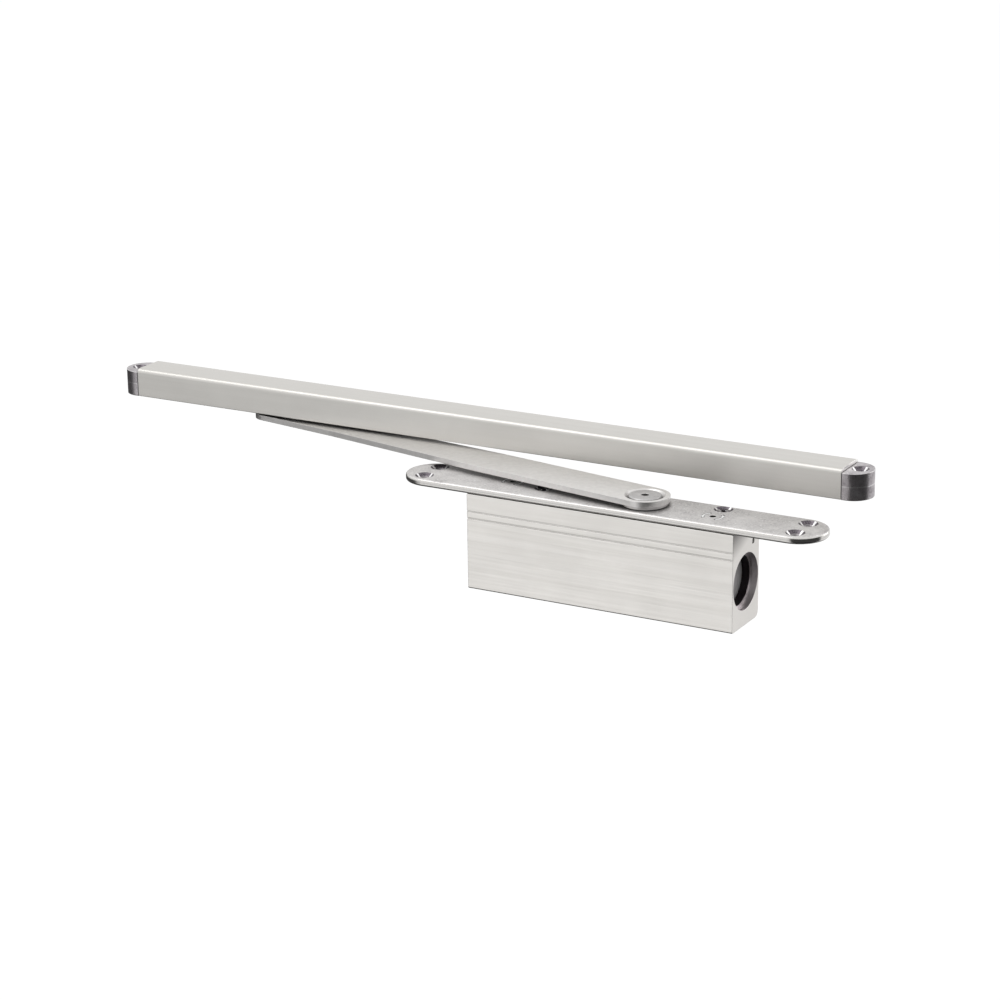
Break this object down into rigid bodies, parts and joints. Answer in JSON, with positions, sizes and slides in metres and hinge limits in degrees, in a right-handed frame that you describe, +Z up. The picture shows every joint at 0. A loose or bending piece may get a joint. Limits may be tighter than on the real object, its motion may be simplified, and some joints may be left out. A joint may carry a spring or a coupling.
{
  "type": "concealed door closer",
  "caption": "Hydraulic door closer let into the door's top edge: round-ended mounting plate, slim body, cam-driven arm and a slide rail for the frame.",
  "frame": {"origin": "centre of the mounting plate's four wood screw holes, on the plate's underside, the face that seats on the door's edge", "axes": "+X along the body from the latch side to the hinge side of the door, +Y across the door leaf from the body's grooved front to its rear, +Z up from the body to the rail"},
  "size_m": [0.4685, 0.0722, 0.0796],
  "materials": {
    "body_aluminium": "extruded aluminium, brushed along its length, clear anodised",
    "plate_steel": "zinc-plated steel, satin top with bright rounded edges",
    "screw_steel": "zinc-plated steel",
    "inner_steel": "turned steel",
    "bearing_steel": "hardened and ground bearing steel",
    "spindle_steel": "hardened and ground steel",
    "arm_steel": "nickel-plated steel strip, fine matt grain",
    "axle_steel": "nickel-plated steel, turned head",
    "pin_steel": "ground steel",
    "ring_steel": "phosphated spring steel",
    "block_plastic": "self-lubricating acetal plastic",
    "rail_aluminium": "extruded aluminium, silver anodised",
    "cap_metal": "zinc die casting, dark grey",
    "piston_steel": "ground steel",
    "retainer_brass": "stamped brass",
    "spring_steel": "oiled spring steel wire",
    "plug_metal": "turned steel, phosphated",
    "seal_rubber": "nitrile rubber"
  },
  "bodies": {
    "closer_body": {"housing": "body_aluminium", "mounting_plate": "plate_steel", "plate_screws": "screw_steel", "bearing_cap": "inner_steel", "shaft_seal": "seal_rubber", "upper_bearing_cup": "bearing_steel", "lower_bearing_cup": "bearing_steel", "closing_spring_outer": "spring_steel", "closing_spring_inner": "spring_steel", "return_spring": "spring_steel", "spring_end_plug": "plug_metal", "spring_plug_seal": "seal_rubber", "damper_end_plug": "plug_metal", "damper_plug_seal": "seal_rubber", "channel_plugs": "inner_steel"},
    "arm_assembly": {"cam_spindle": "spindle_steel", "arm": "arm_steel", "axle_screw": "axle_steel", "slider_pin": "pin_steel", "retaining_ring": "ring_steel"},
    "slider": {"slide_block": "block_plastic"},
    "rail": {"rail_profile": "rail_aluminium", "rail_cap_hinge_end": "cap_metal", "rail_cap_latch_end": "cap_metal"},
    "spring_side_piston": {"spring_piston": "piston_steel", "spring_roller_pin": "pin_steel", "spring_check_retainer": "retainer_brass"},
    "spring_side_roller": {"spring_roller": "bearing_steel"},
    "spring_side_ball": {"spring_check_ball": "bearing_steel"},
    "damping_side_piston": {"damping_piston": "piston_steel", "damping_roller_pin": "pin_steel", "piston_seal": "seal_rubber", "damping_check_retainer": "retainer_brass"},
    "damping_side_roller": {"damping_roller": "bearing_steel"},
    "damping_side_ball": {"damping_check_ball": "bearing_steel"},
    "upper_needle_set": {"upper_bearing_needles": "bearing_steel"},
    "lower_needle_set": {"lower_bearing_needles": "bearing_steel"},
    "force_adjuster": {"adjusting_screw": "screw_steel", "adjuster_seal": "seal_rubber"},
    "spring_pressure_plate": {"pressure_plate": "inner_steel"},
    "closing_valve_ring": {"closing_valve_seal": "seal_rubber"},
    "closing_valve_screw": {"closing_speed_valve": "screw_steel"},
    "backcheck_valve_ring": {"backcheck_valve_seal": "seal_rubber"},
    "backcheck_valve_screw": {"backcheck_valve": "screw_steel"}
  },
  "joints": [
    {"name": "spindle_turn", "type": "hinge", "parent": "closer_body", "child": "arm_assembly", "pos_m": [0.02, 0, 0], "axis": [0, 0, -1], "range_deg": [-9.83, 140.17]},
    {"name": "slider_swivel", "type": "hinge", "parent": "arm_assembly", "child": "slider", "pos_m": [-0.23963, 0.04499, 0], "axis": [0, 0, 1], "continuous": true},
    {"name": "rail_slide", "type": "slide", "parent": "slider", "child": "rail", "axis": [1, 0, 0], "range_m": [-0.3262, 0.0595]},
    {"name": "spring_piston_slide", "type": "slide", "parent": "closer_body", "child": "spring_side_piston", "axis": [1, 0, 0], "range_m": [-0.00637, 0.00045], "deforming": ["closing_spring_outer", "closing_spring_inner"]},
    {"name": "damping_piston_slide", "type": "slide", "parent": "closer_body", "child": "damping_side_piston", "axis": [1, 0, 0], "range_m": [-0.00637, 0.00045], "deforming": ["return_spring"]},
    {"name": "spring_roller_spin", "type": "hinge", "parent": "spring_side_piston", "child": "spring_side_roller", "pos_m": [0.00905, 0, -0.0293], "axis": [0, 0, -1], "continuous": true},
    {"name": "damping_roller_spin", "type": "hinge", "parent": "damping_side_piston", "child": "damping_side_roller", "pos_m": [0.03822, 0, -0.0293], "axis": [0, 0, -1], "continuous": true},
    {"name": "spring_check_lift", "type": "slide", "parent": "spring_side_piston", "child": "spring_side_ball", "axis": [-1, 0, 0], "range_m": [0, 0.0008]},
    {"name": "damping_check_lift", "type": "slide", "parent": "damping_side_piston", "child": "damping_side_ball", "axis": [1, 0, 0], "range_m": [0, 0.0008]},
    {"name": "upper_needles_orbit", "type": "hinge", "parent": "closer_body", "child": "upper_needle_set", "pos_m": [0.02, 0, 0], "axis": [0, 0, -1], "range_deg": [-4.4, 62.4]},
    {"name": "lower_needles_orbit", "type": "hinge", "parent": "closer_body", "child": "lower_needle_set", "pos_m": [0.02, 0, 0], "axis": [0, 0, -1], "range_deg": [-4.3, 60.2]},
    {"name": "adjuster_turn", "type": "hinge", "parent": "closer_body", "child": "force_adjuster", "pos_m": [-0.0692, 0, -0.0293], "axis": [1, 0, 0], "range_deg": [0, 2304]},
    {"name": "pressure_plate_slide", "type": "slide", "parent": "closer_body", "child": "spring_pressure_plate", "axis": [1, 0, 0], "range_m": [0, 0.00801], "deforming": ["closing_spring_outer", "closing_spring_inner"]},
    {"name": "closing_valve_lift", "type": "slide", "parent": "closer_body", "child": "closing_valve_ring", "axis": [0, 0, 1], "range_m": [-0.00076, 0.00076]},
    {"name": "closing_valve_turn", "type": "hinge", "parent": "closing_valve_ring", "child": "closing_valve_screw", "pos_m": [0.06, -0.003, 0], "axis": [0, 0, 1], "range_deg": [-360, 360]},
    {"name": "backcheck_valve_lift", "type": "slide", "parent": "closer_body", "child": "backcheck_valve_ring", "axis": [0, 0, 1], "range_m": [-0.00076, 0.00076]},
    {"name": "backcheck_valve_turn", "type": "hinge", "parent": "backcheck_valve_ring", "child": "backcheck_valve_screw", "pos_m": [-0.06, 0.003, 0], "axis": [0, 0, 1], "range_deg": [-360, 360]}
  ],
  "couplings": [
    {"joint": "spring_piston_slide", "follows": "spindle_turn", "m_per_rad": -0.0026},
    {"joint": "damping_piston_slide", "follows": "spindle_turn", "m_per_rad": -0.0026},
    {"joint": "spring_roller_spin", "follows": "spindle_turn", "ratio": -1.32},
    {"joint": "damping_roller_spin", "follows": "spindle_turn", "ratio": -1.55},
    {"joint": "upper_needles_orbit", "follows": "spindle_turn", "ratio": 0.4444},
    {"joint": "lower_needles_orbit", "follows": "spindle_turn", "ratio": 0.4286},
    {"joint": "pressure_plate_slide", "follows": "adjuster_turn", "m_per_rad": 0.00019894},
    {"joint": "closing_valve_lift", "follows": "closing_valve_turn", "m_per_rad": 0.00011937},
    {"joint": "backcheck_valve_lift", "follows": "backcheck_valve_turn", "m_per_rad": 0.00011937}
  ]
}
